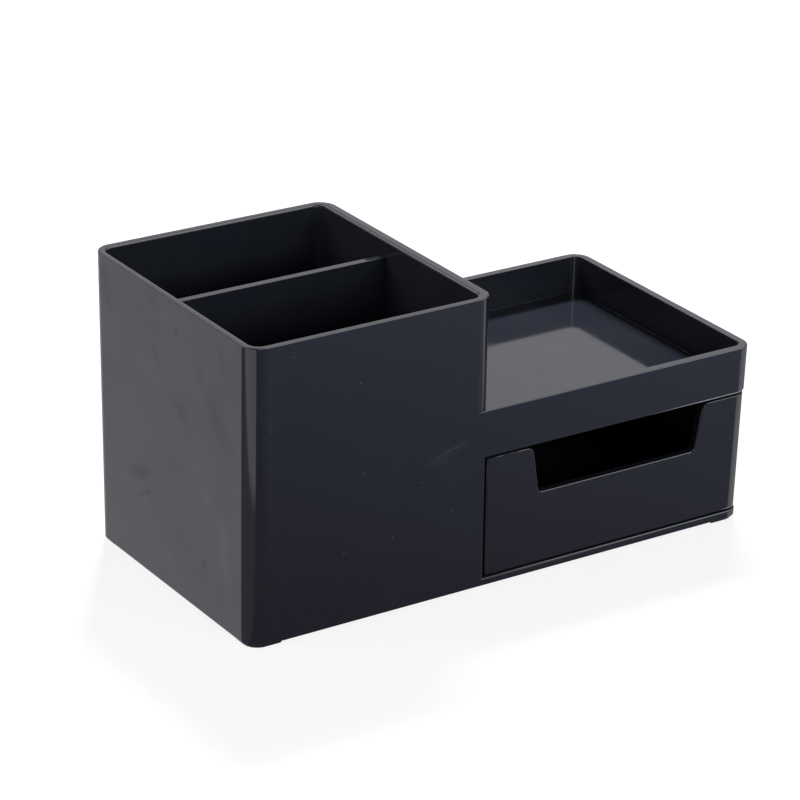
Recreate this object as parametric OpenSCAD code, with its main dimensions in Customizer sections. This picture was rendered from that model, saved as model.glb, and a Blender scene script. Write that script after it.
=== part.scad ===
// Desk organizer: a tall divided bin, a shallow tray beside it and a drawer under the tray.
// Millimetres. +X runs right along the long front, +Y runs back, +Z is up.
// The origin is at the middle of the footprint, on the surface that the feet stand on.

/* [Overall] */
// Length along the front, over the rims
body_l = 172; // [150:1:200]
// Depth from front to back, over the rims
body_d = 88; // [75:1:105]
// Height of the bin above the table
body_h = 90; // [75:1:110]
// Radius of the upright corners, seen from above
corner_r = 5; // [3.5:0.25:6]
// Draft of the outer walls, which lean in towards the base
draft_deg = 0.58; // [0:0.01:1]

/* [Bin] */
// Distance from the left end to the bin's right outer face
bin_l = 78.5; // [65:0.5:90]
// Thickness of the bin's outer walls
bin_wall = 2.3; // [1.6:0.1:3]
// Thickness of the wall between the bin and the tray
middle_wall = 3.2; // [2.2:0.1:4]
// Thickness of the bin's floor and of the strip under the drawer
base_t = 2.2; // [1.6:0.1:3]
// Draft of the bin's inner faces, past that of the outer walls
core_draft_deg = 0.2; // [0:0.05:0.5]

/* [Divider] */
// Thickness of the plate
divider_t = 2.2; // [1.4:0.1:3]
// Distance of the plate's middle behind the middle of the bin
divider_y = 7.7; // [-10:0.1:20]
// How far the plate's top lies below the rim
divider_drop = 5; // [1:0.5:20]

/* [Tray] */
// Height of the tray's rim above the table
tray_rim_z = 55.7; // [48:0.1:65]
// Height of the tray's floor above the table
tray_floor_z = 43.8; // [42:0.1:46]
// Thickness of the tray's floor
tray_floor_t = 2.5; // [1.6:0.1:3]
// Thickness of the tray's walls
tray_wall = 2.6; // [1.6:0.1:3.2]

/* [Drawer] */
// Clearance seen round the drawer's front
front_gap = 0.7; // [0.4:0.1:1.2]
// Clearance round the drawer's box, inside the bay
slide_gap = 0.8; // [0.4:0.1:1.2]
// Clearance under the drawer's box
under_gap = 0.3; // [0.2:0.1:0.6]
// Thickness of the drawer's front panel
front_t = 2.2; // [1.6:0.1:3]
// Thickness of the drawer's box
box_t = 1.8; // [1.2:0.1:2.4]
// How far the front panel lies behind the housing's face
front_recess = 0.3; // [0:0.1:0.8]
// Length of the panel's return round the right corner
return_l = 5.8; // [5:0.1:8]
// How far the box's side walls stay below the bay's ceiling
side_drop = 4.1; // [2:0.1:20]

/* [Finger notch] */
// Width of the notch at its lower edge
notch_w_low = 55.4; // [40:0.1:60]
// Width of the notch at the panel's top
notch_w_top = 60.6; // [42:0.1:66]
// Depth of the notch below the panel's top
notch_depth = 14.7; // [8:0.1:20]
// How far the notch's middle lies left of the panel's middle
notch_shift = 1; // [-4:0.1:4]
// Radius of the notch's two upper corners
notch_r_top = 2.5; // [1:0.1:4]
// Radius of the notch's two lower corners
notch_r_low = 1.5; // [0.5:0.1:4]

/* [Snap bumps] */
// Length of each bump along the front
bump_l = 12; // [6:1:20]
// Depth of each bump from front to back
bump_d = 2; // [1:0.5:4]
// Height of each bump
bump_h = 1.2; // [0.8:0.1:1.4]

/* [Feet] */
// Height of a foot pad
foot_h = 1; // [0.6:0.1:2]
// Length of a pad along the front
foot_l = 10; // [7:0.5:16]
// Length of a pad from front to back
foot_d = 8.5; // [7:0.5:16]
// How far a pad lies inside the housing's edge
foot_inset = 0.3; // [0:0.1:1]

/* [Hidden] */

shell_colour = [0.15, 0.16, 0.20];
drawer_colour = [0.14, 0.15, 0.19];
foot_colour = [0.05, 0.05, 0.06];

round_fn = 32;       // sides of a full turn at the drafted corners
arc_steps = 8;       // steps of a rounded corner of the finger notch
slab_t = 0.01;       // thickness of the slices that a drafted block spans
reach = 5;           // how far a cut runs past the face it opens
edge_round = 0.6;    // height and depth of the bevel along the base's lower edge
corner_proud = 0.03; // lets the bin's right corners meet its leaning faces at a clear angle
joint_gap = 0.05;    // gap between the divider's ends and the bin's walls

end_x = body_l / 2;
face_y = body_d / 2;
base_z = foot_h;
floor_z = base_z + base_t;
bin_x = bin_l - end_x;
bay_top = tray_floor_z - tray_floor_t;

// Inset of a leaning face at height z, when it is flush at height top
function lean(z, top, angle = draft_deg) = (top - z) * tan(angle);

// The bin's inner faces: at height z, the left one, the right one and the front one
function cavity_left(z) = -end_x + bin_wall + lean(z, body_h, draft_deg + core_draft_deg);
function cavity_right(z) = bin_x - middle_wall - lean(z, body_h, core_draft_deg);
function cavity_front(z) = -face_y + bin_wall + lean(z, body_h, draft_deg + core_draft_deg);

// Four thin corner discs at height z, which bound one level of a drafted block
module level(left, right, front, back, r, z) {
    for (x = [left + r, right - r], y = [front + r, back - r])
        translate([x, y, z])
            cylinder(r = r, h = slab_t, $fn = round_fn);
}

// One level of the outer block; extra draws it in for a bevel
module outer_level(z, extra = 0) {
    side = lean(z, body_h) + extra;
    right_side = lean(z, tray_rim_z) + extra;
    level(-end_x + side, end_x - right_side, -face_y + side, face_y - side, corner_r - extra / 2,
          z == base_z ? z : z - slab_t);
}

// The block that bin, tray and bay are cut from, with the base's lower edge bevelled
module outer_block(top) {
    hull() {
        outer_level(base_z, edge_round);
        outer_level(base_z + edge_round);
        outer_level(top);
    }
}

// The room above the tray, right of the bin. It goes round an upright post at each of the bin's
// two right corners, which leans with the outer face and stands out of it by corner_proud.
module step_cut() {
    corner_y = face_y - corner_r + corner_proud;
    below = tray_rim_z - reach;
    above = body_h + reach;
    difference() {
        translate([bin_x - corner_r, -face_y - reach, tray_rim_z])
            cube([body_l, body_d + 2 * reach, body_h]);
        hull()
            for (side = [-1, 1], z = [below, above])
                translate([bin_x - corner_r, side * (corner_y - lean(z, body_h)), z])
                    cylinder(r = corner_r, h = slab_t, $fn = round_fn);
    }
}

// The bin's inside, wider at the rim
module bin_cavity() {
    r = corner_r - bin_wall;
    hull()
        for (z = [floor_z, body_h + reach])
            level(cavity_left(z), cavity_right(z), cavity_front(z), -cavity_front(z), r, z);
}

// The tray's well, wider at the rim; its left end is the bin's outer face
module tray_cavity() {
    r = corner_r - tray_wall;
    top = tray_rim_z + reach;
    hull()
        for (z = [tray_floor_z, top]) {
            side = face_y - lean(tray_rim_z, body_h) - tray_wall - lean(z, tray_rim_z);
            level(bin_x, end_x - tray_wall - lean(z, tray_rim_z), -side, side, r, z);
        }
}

bay_left = bin_x - 0.6;               // the bay cuts a little into the middle wall
bay_right = end_x - tray_wall;
bay_back = face_y - tray_wall - 0.2;
wall_front = -face_y + return_l + slide_gap;

// The drawer's bay, open to the front and round the right front corner
module bay_cavity() {
    bay_height = bay_top - floor_z;
    translate([bay_left, -face_y - reach, floor_z])
        cube([bay_right - bay_left, bay_back + face_y + reach, bay_height]);
    translate([bay_right - reach, -face_y - reach, floor_z])
        cube([3 * reach, wall_front + face_y + reach, bay_height]);
}

// Two snap bumps under the bay's ceiling, which the drawer's back wall meets when it is pulled out
module snap_bumps() {
    for (x = [bay_left + 10, bay_right - 10 - bump_l])
        translate([x, wall_front + 1, bay_top - bump_h])
            cube([bump_l, bump_d, bump_h + tray_floor_t / 2]);
}

// The one-piece body: bin, tray, drawer bay and base strip
module housing() {
    color(shell_colour) {
        difference() {
            outer_block(body_h);
            step_cut();
            bin_cavity();
            tray_cavity();
            bay_cavity();
        }
        snap_bumps();
    }
}

// The upright plate across the bin, whose ends follow the leaning walls
module bin_divider() {
    top = body_h - divider_drop;
    ends = [[cavity_left(floor_z) + joint_gap, floor_z],
            [cavity_right(floor_z) - joint_gap, floor_z],
            [cavity_right(top) - joint_gap, top],
            [cavity_left(top) + joint_gap, top]];
    color(shell_colour)
        translate([0, divider_y + divider_t / 2, 0])
            rotate([90, 0, 0])
                linear_extrude(divider_t)
                    polygon(ends);
}

front_bottom = floor_z + front_gap;
front_top = bay_top - front_gap;
front_left = bay_left + front_gap;
box_left = bay_left + slide_gap;
box_right = bay_right - slide_gap;
box_back = bay_back - 1;
box_floor = floor_z + under_gap;
box_front = -face_y + lean(0, body_h) + front_recess + front_t - box_t;
return_back = -face_y + return_l;

// The front panel's outer form, round the right corner, cut from the drafted block
module panel_shell() {
    intersection() {
        hull()
            for (z = [0, bay_top]) {
                side = lean(z, body_h) + front_recess;
                level(-end_x, end_x - lean(z, tray_rim_z) - front_recess, -face_y + side, face_y, corner_r, z);
            }
        translate([front_left, -face_y - reach, front_bottom])
            cube([body_l, return_back + face_y + reach, front_top - front_bottom]);
    }
}

// Points of an arc of radius r about c, from angle a to angle b
function arc(c, r, a, b) = [for (i = [0:arc_steps])
    c + r * [cos(a + (b - a) * i / arc_steps), sin(a + (b - a) * i / arc_steps)]];

// The right half of the notch's outline: up its slanted side, with both corners rounded.
// The side leans by slant from upright; an arc that touches it and a level line has its
// centre one radius from each.
function notch_side(depth, half_low, half_top) =
    let (slant = atan2(half_top - half_low, depth),
         low_x = half_low + notch_r_low * (tan(slant) - 1 / cos(slant)),
         top_x = half_top - notch_r_top * (tan(slant) - 1 / cos(slant)))
    concat(arc([low_x, notch_r_low - depth], notch_r_low, -90, -slant),
           arc([top_x, -notch_r_top], notch_r_top, 180 - slant, 90));

// The finger notch in the panel's top edge
module notch_cut() {
    side = notch_side(notch_depth, notch_w_low / 2, notch_w_top / 2);
    far = side[len(side) - 1][0];
    outline = concat(side, [[far, reach], [-far, reach]],
                     [for (i = [len(side) - 1:-1:0]) [-side[i][0], side[i][1]]]);
    translate([(front_left + end_x) / 2 - notch_shift, -face_y + 2 * reach, front_top])
        rotate([90, 0, 0])
            linear_extrude(3 * reach)
                polygon(outline);
}

// The open box behind the panel; its back wall is the tall one that meets the bumps
module drawer_box() {
    box_w = box_right - box_left;
    box_d = box_back - box_front;
    side_top = bay_top - side_drop;
    difference() {
        union() {
            translate([box_left, box_front, box_floor])
                cube([box_w, box_d, side_top - box_floor]);
            translate([box_left, box_back - box_t, box_floor])
                cube([box_w, box_t, front_top - box_floor]);
        }
        translate([box_left + box_t, box_front + box_t, box_floor + box_t])
            cube([box_w - 2 * box_t, box_d - 2 * box_t, body_h]);
    }
}

// The drawer: front panel round the corner, box, and the notch through the panel
module drawer() {
    inner_y = box_front + box_t;
    color(drawer_colour)
        difference() {
            union() {
                difference() {
                    panel_shell();
                    translate([front_left - reach, inner_y, 0])
                        cube([box_right - box_t - front_left + reach, body_d, body_h]);
                }
                drawer_box();
            }
            notch_cut();
        }
}

// The sloped cut at a pad's inner end, a right-angled wedge along Y with its foot at x = 0
module end_slope() {
    translate([0, reach, 0])
        rotate([90, 0, 0])
            linear_extrude(foot_d + 2 * reach)
                polygon([[-2, -1], [foot_h + 1, -1], [-2, foot_h + 2]]);
}

// A foot pad with its round corner at the origin, reaching towards -X and -Y
module foot_pad() {
    r = corner_r - edge_round;
    difference() {
        linear_extrude(foot_h) {
            translate([-r, -r])
                circle(r, $fn = round_fn);
            translate([-foot_l, -foot_d])
                square([foot_l - r, foot_d]);
            translate([-foot_l, -foot_d])
                square([foot_l, foot_d - r]);
        }
        translate([-foot_l, 0, 0])
            end_slope();
        translate([0, -foot_d, 0])
            mirror([1, -1, 0])
                end_slope();
    }
}

// The foot pad at the corner that side_x and side_y point to
module foot(side_x, side_y) {
    top = side_x < 0 ? body_h : tray_rim_z;
    outer_x = end_x - lean(base_z, top) - edge_round - foot_inset;
    outer_y = face_y - lean(base_z, body_h) - edge_round - foot_inset;
    color(foot_colour)
        translate([side_x * outer_x, side_y * outer_y, 0])
            mirror([side_x < 0 ? 1 : 0, 0, 0])
                mirror([0, side_y < 0 ? 1 : 0, 0])
                    foot_pad();
}

module foot_front_left() { foot(-1, -1); }
module foot_front_right() { foot(1, -1); }
module foot_back_left() { foot(-1, 1); }
module foot_back_right() { foot(1, 1); }

housing();
bin_divider();
drawer();
foot_front_left();
foot_front_right();
foot_back_left();
foot_back_right();
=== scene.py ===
"""Looks of a moulded desk organizer: a divided bin, a shallow tray and a drawer under the tray.

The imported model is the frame: metres, +X right along the long front, +Y back, +Z up, with the origin
under the middle of the footprint. Each visible piece is a closed surface worked out from the sizes
below. Upright walls are columns of points seen from above, which lean inwards below their rim, and a
rim, fillet or rounded edge is a profile of (inset, height) pairs carried along those columns.
"""

import logging
import math
from dataclasses import dataclass
from enum import Enum

import bmesh
import bpy
import numpy as np
from mathutils import Matrix, Vector


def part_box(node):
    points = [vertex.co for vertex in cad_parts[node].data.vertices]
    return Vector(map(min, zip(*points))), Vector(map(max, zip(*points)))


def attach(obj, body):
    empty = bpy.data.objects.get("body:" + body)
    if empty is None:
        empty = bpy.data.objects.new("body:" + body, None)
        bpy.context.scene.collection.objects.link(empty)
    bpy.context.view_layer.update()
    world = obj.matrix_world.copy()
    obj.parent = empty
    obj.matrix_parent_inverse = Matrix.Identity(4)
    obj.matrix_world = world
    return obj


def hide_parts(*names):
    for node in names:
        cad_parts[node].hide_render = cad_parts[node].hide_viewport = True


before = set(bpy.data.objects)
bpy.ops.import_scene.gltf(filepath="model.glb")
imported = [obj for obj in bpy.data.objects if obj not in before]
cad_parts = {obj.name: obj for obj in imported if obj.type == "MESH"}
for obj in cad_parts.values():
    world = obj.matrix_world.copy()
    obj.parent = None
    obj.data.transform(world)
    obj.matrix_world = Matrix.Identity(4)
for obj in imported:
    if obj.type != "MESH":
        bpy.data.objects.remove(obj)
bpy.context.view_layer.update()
LOG = logging.getLogger("organizer")

MM = 0.001
WELD = 2e-6  # points closer than this are one
NEAR = 0.01 * MM  # room round the boxes that pick edges
SHARP_ANGLE = math.radians(35)  # edges with a wider turn are shaded as sharp
BEVEL_ANGLE = math.radians(50)  # edges with a wider turn are rounded where no weight picks them
LARGE_FACE_WEIGHT = 100  # the most that a large face can outweigh a small one in shading
FULL_TURN = 360.0  # in degrees
DEGREES = 180 / math.pi  # in a radian
WHITE = (1.0, 1.0, 1.0)

Pair = tuple[float, float]
Point = tuple[float, float, float]
Colour = tuple[float, float, float]


# --------------------------------------------------------------------------- surfaces


def quarter(radius: float, steps: int = 5) -> tuple[np.ndarray, np.ndarray]:
    """A quarter circle that starts upright and ends level.

    Args:
        radius: its radius.
        steps: the number of its straight pieces.

    Returns:
        How far each point has moved sideways, radius * (1 - cos a), and up, radius * sin a.
    """
    angle = np.linspace(0.0, np.pi / 2, steps + 1)
    return radius * (1 - np.cos(angle)), radius * np.sin(angle)


@dataclass(frozen=True)
class Outline:
    """Upright columns of a leaning wall, in order round the part, seen from above.

    The point of a column at height z is anchor + slope * (top - z) - normal * inset, in x and in y.
    """

    anchor: np.ndarray
    slope: np.ndarray
    top: np.ndarray
    normal: np.ndarray

    def at(self, z: np.ndarray | float, inset: np.ndarray | float = 0.0) -> np.ndarray:
        """Points of every column at some heights.

        Args:
            z: one height per row, or one height and column.
            inset: how far each row lies inside the wall's face.

        Returns:
            An array of (rows, columns, 3).
        """
        height = np.atleast_1d(np.asarray(z, float))
        if height.ndim == 1:
            height = height[:, None]
        height = np.broadcast_to(height, (len(height), len(self.anchor)))
        depth = np.broadcast_to(np.atleast_1d(np.asarray(inset, float)), (len(height),))
        fall = self.top[None] - height[..., None]
        flat = self.anchor[None] + self.slope[None] * fall - self.normal[None] * depth[:, None, None]
        return np.concatenate([flat, height[..., None]], axis=2)

    def part(self, start: int, stop: int | None = None) -> "Outline":
        """The columns from start up to stop."""
        cut = slice(start, stop)
        return Outline(self.anchor[cut], self.slope[cut], self.top[cut], self.normal[cut])

    @staticmethod
    def join(*parts: "Outline") -> "Outline":
        """Several stretches of columns as one outline."""
        return Outline(*(np.concatenate([getattr(p, name) for p in parts])
                         for name in ("anchor", "slope", "top", "normal")))

    @staticmethod
    def corner(centre: Pair, radius: float, turn: np.ndarray, slope: Pair, top: Pair) -> "Outline":
        """A rounded corner, the points centre + radius * (cos turn, sin turn).

        Args:
            centre: the arc's centre at the top heights.
            radius: the arc's radius, the same at all heights.
            turn: the columns' directions, in radians.
            slope: how far the wall moves in x and in y for each metre below its top.
            top: the heights that x and y are counted from.

        Returns:
            One column per direction.
        """
        normal = np.stack([np.cos(turn), np.sin(turn)], axis=1)
        ones = np.ones((len(turn), 1))
        return Outline(np.array([centre]) + radius * normal, ones * slope, ones * top, normal)

    @staticmethod
    def post(anchor: Pair, normal: Pair, slope: Pair, top: Pair) -> "Outline":
        """A single column."""
        return Outline(*(np.array([value], float) for value in (anchor, slope, top, normal)))


class Surface:
    """A closed surface gathered from patches, whose shared points are welded when it is built."""

    def __init__(self) -> None:
        """Starts with no patches."""
        self.points: list[np.ndarray] = []
        self.faces: list[list[int]] = []
        self.count = 0

    def _add(self, points: np.ndarray) -> np.ndarray:
        """Keeps some points.

        Args:
            points: the points, as (..., 3).

        Returns:
            Their numbers, in the points' own layout.
        """
        layout = points.shape[:-1]
        numbers = self.count + np.arange(int(np.prod(layout))).reshape(layout)
        self.points.append(points.reshape(-1, 3))
        self.count += numbers.size
        return numbers

    def grid(self, rows: np.ndarray, closed: bool = False, keep: np.ndarray | None = None) -> None:
        """Adds the quads between neighbouring rows and columns.

        Args:
            rows: points as (rows, columns, 3).
            closed: whether the last column meets the first.
            keep: which quads stay, as (rows - 1, columns - 1), or all where it is None.
        """
        index = self._add(rows)
        if closed:
            index = np.concatenate([index, index[:, :1]], axis=1)
        low, high = index[:-1], index[1:]
        quads = np.stack([low[:, :-1], low[:, 1:], high[:, 1:], high[:, :-1]], axis=-1)
        quads = quads[keep] if keep is not None else quads.reshape(-1, 4)
        self.faces.extend(quads.tolist())

    def face(self, *lines: np.ndarray) -> None:
        """Adds one flat face round the closed line that the given lines of points make."""
        line = np.concatenate([np.asarray(part, float).reshape(-1, 3) for part in lines])
        self.faces.append(self._add(line).tolist())

    def prism(self, first: np.ndarray, last: np.ndarray) -> None:
        """Adds the walls between two closed lines of points, and a flat face on each line.

        Args:
            first: one line's points.
            last: as many points on the other line.
        """
        self.grid(np.stack([first, last]), closed=True)
        self.face(first)
        self.face(last)

    def build(self, name: str, rounded: "EdgePick | None" = None) -> bpy.types.Object:
        """Welds the patches, turns the faces outwards and makes the object.

        Args:
            name: the new object's name.
            rounded: picks the edges that a bevel rounds later, which then stay smooth.

        Returns:
            The object, linked to the scene.
        """
        mesh = bpy.data.meshes.new(name)
        mesh.from_pydata(np.concatenate(self.points).tolist(), [], self.faces)
        work = bmesh.new()
        work.from_mesh(mesh)
        bmesh.ops.remove_doubles(work, verts=work.verts, dist=WELD)
        bmesh.ops.recalc_face_normals(work, faces=work.faces)
        work.to_mesh(mesh)
        open_edges = sum(1 for edge in work.edges if len(edge.link_faces) != 2)
        work.free()
        mesh.shade_smooth()
        mesh.set_sharp_from_angle(angle=SHARP_ANGLE)
        if rounded is not None:
            rounded.mark(mesh)
        item = bpy.data.objects.new(name, mesh)
        bpy.context.scene.collection.objects.link(item)
        LOG.info("%s: %d faces, %d open edges", name, len(mesh.polygons), open_edges)
        return item


@dataclass(frozen=True)
class EdgePick:
    """Sharp edges with both ends in a box and outside another one, which a bevel rounds."""

    low: Point
    high: Point
    not_low: Point
    not_high: Point

    def mark(self, mesh: bpy.types.Mesh) -> None:
        """Gives the picked edges a bevel weight of 1 and makes them smooth.

        Args:
            mesh: the mesh, whose sharp edges are marked.
        """
        points = np.empty(len(mesh.vertices) * 3)
        mesh.vertices.foreach_get("co", points)
        points = points.reshape(-1, 3)
        ends = np.empty(len(mesh.edges) * 2, int)
        mesh.edges.foreach_get("vertices", ends)
        inside = np.all((points > self.low) & (points < self.high), axis=1)
        inside &= ~np.all((points > self.not_low) & (points < self.not_high), axis=1)
        sharp = mesh.attributes["sharp_edge"]
        hard = np.empty(len(mesh.edges), bool)
        sharp.data.foreach_get("value", hard)
        picked = hard & inside[ends.reshape(-1, 2)].all(axis=1)
        weight = mesh.attributes.new("bevel_weight_edge", "FLOAT", "EDGE")
        weight.data.foreach_set("value", picked.astype(np.float32))
        sharp.data.foreach_set("value", hard & ~picked)


def finish_edges(item: bpy.types.Object, width: float, by_weight: bool, segments: int = 3) -> None:
    """Rounds a piece's sharp edges and keeps its flat faces flat.

    Args:
        item: the piece.
        width: the bevel's width, which no short edge reduces.
        by_weight: whether only the edges with a bevel weight are rounded, or all sharp ones.
        segments: the number of the bevel's strips.
    """
    bevel = item.modifiers.new("edge_rounding", "BEVEL")
    bevel.use_clamp_overlap = False
    bevel.width = width
    bevel.segments = segments
    bevel.limit_method = "WEIGHT" if by_weight else "ANGLE"
    bevel.angle_limit = BEVEL_ANGLE
    keep_flat(item)


def keep_flat(item: bpy.types.Object) -> None:
    """Weights a piece's shading by face area, so that a rounded edge doesn't bend a flat face's shine.

    Args:
        item: the piece.
    """
    weighted = item.modifiers.new("flat_faces", "WEIGHTED_NORMAL")
    weighted.keep_sharp = True
    weighted.weight = LARGE_FACE_WEIGHT


# --------------------------------------------------------------------------- dressing


class Slot(Enum):
    """The record's material slots."""

    SHELL = "shell"
    DRAWER = "drawer"
    FOOT = "foot"


class Body(Enum):
    """The bodies that move as one."""

    HOUSING = "housing"
    DRAWER = "drawer"


@dataclass(frozen=True)
class Dress:
    """A finished material and the record's slot for it."""

    slot: Slot
    material: bpy.types.Material

    def put_on(self, item: bpy.types.Object, node: str, body: Body) -> None:
        """Gives a piece the material, parents it to its body and hides the CAD piece that it stands for.

        Args:
            item: the piece.
            node: the CAD piece that it stands for.
            body: the body that it moves with.
        """
        item.data.materials.append(self.material)
        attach(item, body.value)
        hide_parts(node)
        LOG.info("%s stands for %s and moves with %s", item.name, node, body.value)


# --------------------------------------------------------------------------- sizes


@dataclass(frozen=True)
class BodySizes:
    """Sizes of the moulded body, in metres. The overall ones are read from the frame."""

    end_x: float
    face_y: float
    rim_z: float
    base_z: float
    corner_r: float = 5.4 * MM
    draft: float = math.tan(math.radians(0.58))  # lean of the outer walls
    core_draft: float = math.tan(math.radians(0.78))  # lean of the bin's inner walls
    middle_draft: float = math.tan(math.radians(0.2))  # lean of its inner wall on the tray's side
    bin_x: float = -7.5 * MM  # the bin's outer wall on the tray's side, at the rim
    bin_spread: float = math.tan(math.radians(1.0))  # lean of that wall, outwards going down
    bin_wall: float = 2.3 * MM
    middle_wall: float = 3.2 * MM
    base_t: float = 2.2 * MM
    tray_rim_z: float = 55.7 * MM
    tray_floor_z: float = 43.8 * MM
    tray_wall: float = 2.6 * MM
    bay_top: float = 41.3 * MM
    bay_left: float = -8.15 * MM  # the bay's left side at its floor
    bay_spread: float = 0.65 * MM  # how far that side leans outwards up to the ceiling
    bay_right: float = 83.4 * MM
    bay_back: float = 41.2 * MM
    wall_front: float = -37.4 * MM  # front end of the wall on the bay's right
    rim_r: float = 0.42 * MM
    bin_inner_r: float = 0.9 * MM
    tray_inner_r: float = 0.15 * MM
    base_r: float = 0.15 * MM
    tray_fillet: float = 0.02 * MM
    bin_fillet: float = 1.2 * MM
    bay_edge_r: float = 0.55 * MM

    @staticmethod
    def from_frame() -> "BodySizes":
        """Sizes with the overall ones taken from the CAD housing's box."""
        low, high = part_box("housing")
        return BodySizes(end_x=high.x, face_y=high.y, rim_z=high.z, base_z=low.z)

    @property
    def floor_z(self) -> float:
        """Height of the bin's floor and of the bay's."""
        return self.base_z + self.base_t

    def face_at(self, z: np.ndarray | float) -> np.ndarray | float:
        """The front face's y at a height."""
        return -self.face_y + self.draft * (self.rim_z - z)

    def bay_left_at(self, z: np.ndarray | float) -> np.ndarray | float:
        """The bay's left side's x at a height. It leans outwards towards its top, by bay_spread in all."""
        return self.bay_left - self.bay_spread * (z - self.floor_z) / (self.bay_top - self.floor_z)


# --------------------------------------------------------------------------- housing


class Housing:
    """The one-piece body: bin, tray, drawer bay and base strip."""

    CORNER_STEPS = 14
    PLAIN_STEPS = 7  # of a bin corner, behind the tray's wall
    LEVEL_STEPS = 5  # of the tray's level rim
    DEPTH_DIGITS = 9  # to which the insets of the tray's section count as the same

    def __init__(self, sizes: BodySizes, dress: Dress) -> None:
        """Works out the outlines and the tray's profile.

        Args:
            sizes: the body's sizes.
            dress: its material and slot.
        """
        self.s = sizes
        self.dress = dress
        self.tray_inset, self.tray_height = self._tray_profile()
        self.arc_depth, self.arc_of_row = np.unique(self.tray_inset.round(self.DEPTH_DIGITS),
                                                      return_inverse=True)
        self.wall_column = int(np.argmin(np.abs(self.arc_depth - sizes.tray_wall)))
        self.front_right, self.back_right = self._body_corners_right()
        self.back_left, self.front_left = self._body_corners_left()
        self.bin_front, self.bin_back = self._bin_corners()

    def _tray_profile(self) -> tuple[np.ndarray, np.ndarray]:
        """The tray wall's section: outer rounding, level rim, inner rounding, wall and fillet.

        Returns:
            The inset from the outer face and the height of each point, from the outer face inwards.
        """
        s = self.s
        side, up = quarter(s.rim_r)
        in_side, in_up = quarter(s.tray_inner_r)
        level = np.linspace(s.rim_r, s.tray_wall - s.tray_inner_r, self.LEVEL_STEPS + 1)[1:-1]
        low_side, low_up = quarter(s.tray_fillet)
        inset = [side, level, s.tray_wall - in_side[::-1], s.tray_wall + low_side]
        height = [s.tray_rim_z - s.rim_r + up, np.full(len(level), s.tray_rim_z),
                  s.tray_rim_z - s.tray_inner_r + in_up[::-1], s.tray_floor_z + s.tray_fillet - low_up]
        return np.concatenate(inset), np.concatenate(height)

    def _turn(self, start: float) -> np.ndarray:
        """Directions of a quarter turn that starts at the given angle in degrees."""
        return np.radians(np.linspace(start, start + 90, self.CORNER_STEPS + 1))

    def _body_corners_right(self) -> tuple[Outline, Outline]:
        """The two corners at the tray's end.

        Returns:
            The front corner and the back one.
        """
        s = self.s
        x, y = s.end_x - s.corner_r, s.face_y - s.corner_r
        top = (s.tray_rim_z, s.rim_z)
        front = Outline.corner((x, -y), s.corner_r, self._turn(-90), (-s.draft, s.draft), top)
        back = Outline.corner((x, y), s.corner_r, self._turn(0), (-s.draft, -s.draft), top)
        return front, back

    def _body_corners_left(self) -> tuple[Outline, Outline]:
        """The two corners at the bin's end.

        Returns:
            The back corner and the front one.
        """
        s = self.s
        x, y = s.corner_r - s.end_x, s.face_y - s.corner_r
        top = (s.rim_z, s.rim_z)
        back = Outline.corner((x, y), s.corner_r, self._turn(90), (s.draft, -s.draft), top)
        front = Outline.corner((x, -y), s.corner_r, self._turn(180), (s.draft, s.draft), top)
        return back, front

    def _bin_corners(self) -> tuple[Outline, Outline]:
        """The bin's two right corners, with a column where each point of the tray's section meets them.

        A point at inset d meets the arc where the arc is d behind the face, at acos(1 - d / radius).

        Returns:
            The front corner and the back one.
        """
        s = self.s
        meet = np.arccos(1 - self.arc_depth / s.corner_r)
        turn = np.concatenate([meet, np.linspace(meet[-1], np.pi / 2, self.PLAIN_STEPS + 1)[1:]])
        x, y = s.bin_x - s.corner_r, s.face_y - s.corner_r
        top = (s.rim_z, s.rim_z)
        spread = s.bin_spread
        front = Outline.corner((x, -y), s.corner_r, turn - np.pi / 2, (spread, s.draft), top)
        back = Outline.corner((x, y), s.corner_r, np.pi / 2 - turn[::-1], (spread, -s.draft), top)
        return front, back

    def _cavity(self) -> Outline:
        """The bin's inside.

        Returns:
            Its columns, as many at each corner as the outside has.
        """
        s = self.s
        radius = s.corner_r - s.bin_wall
        left = s.bin_wall - s.end_x + radius
        right = s.bin_x - s.middle_wall - radius
        y = s.face_y - s.bin_wall - radius
        top = (s.rim_z, s.rim_z)
        turn = np.arctan2(self.bin_front.normal[:, 1], self.bin_front.normal[:, 0])
        core, middle = s.core_draft, s.middle_draft
        return Outline.join(
            Outline.corner((right, -y), radius, turn, (-middle, core), top),
            Outline.corner((right, y), radius, -turn[::-1], (-middle, -core), top),
            Outline.corner((left, y), radius, self._turn(90), (core, -core), top),
            Outline.corner((left, -y), radius, self._turn(180), (core, core), top))

    def _add_bin_rim_and_inside(self, surface: Surface) -> None:
        """The bin's rim, inner walls, fillet and floor, as one profile round the bin.

        Args:
            surface: what the faces are added to.
        """
        s = self.s
        outside = Outline.join(self.bin_front, self.bin_back, self.back_left, self.front_left)
        inside = self._cavity()
        side, up = quarter(s.rim_r)
        in_side, in_up = quarter(s.bin_inner_r)
        low_side, low_up = quarter(s.bin_fillet)
        low = s.floor_z + s.bin_fillet - low_up
        rows = np.concatenate([outside.at(s.rim_z - s.rim_r + up, side),
                               inside.at(s.rim_z - s.bin_inner_r + in_up[::-1], -in_side[::-1]),
                               inside.at(low, low_side)])
        surface.grid(rows, closed=True)
        surface.face(rows[-1])

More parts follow.
